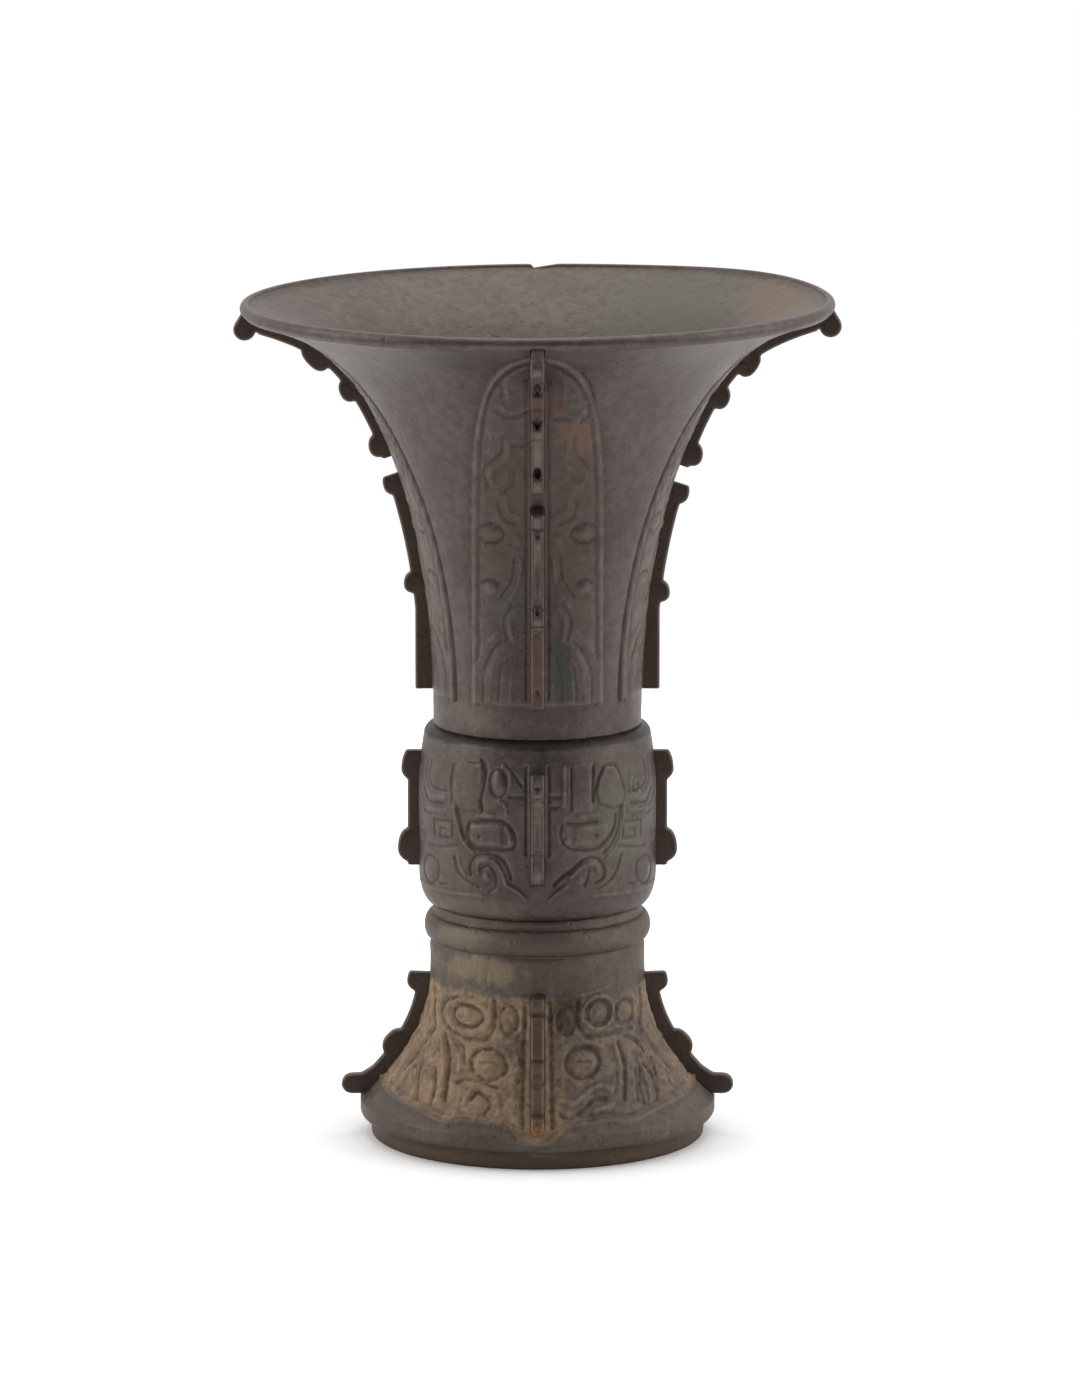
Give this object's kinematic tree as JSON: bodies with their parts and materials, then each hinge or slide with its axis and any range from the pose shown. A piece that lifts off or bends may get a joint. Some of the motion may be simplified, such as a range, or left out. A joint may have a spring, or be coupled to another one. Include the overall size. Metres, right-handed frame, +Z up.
{
  "type": "bronze gu vase",
  "caption": "Cast bronze gu vase with a wide trumpet mouth, a barrel middle and a hollow flared foot, set with hooked flanges and low mask relief.",
  "frame": {"origin": "centre of the foot ring's underside, where the vase stands", "axes": "+Z up along the vase's axis, -Y towards the front blade and flange, +X to the right flange"},
  "size_m": [0.1784, 0.1784, 0.2516],
  "materials": {
    "bronze": "dark brown patinated bronze, satin, with earthy deposits in the relief"
  },
  "bodies": {
    "root": {"gu_vase": "bronze"}
  },
  "joints": []
}
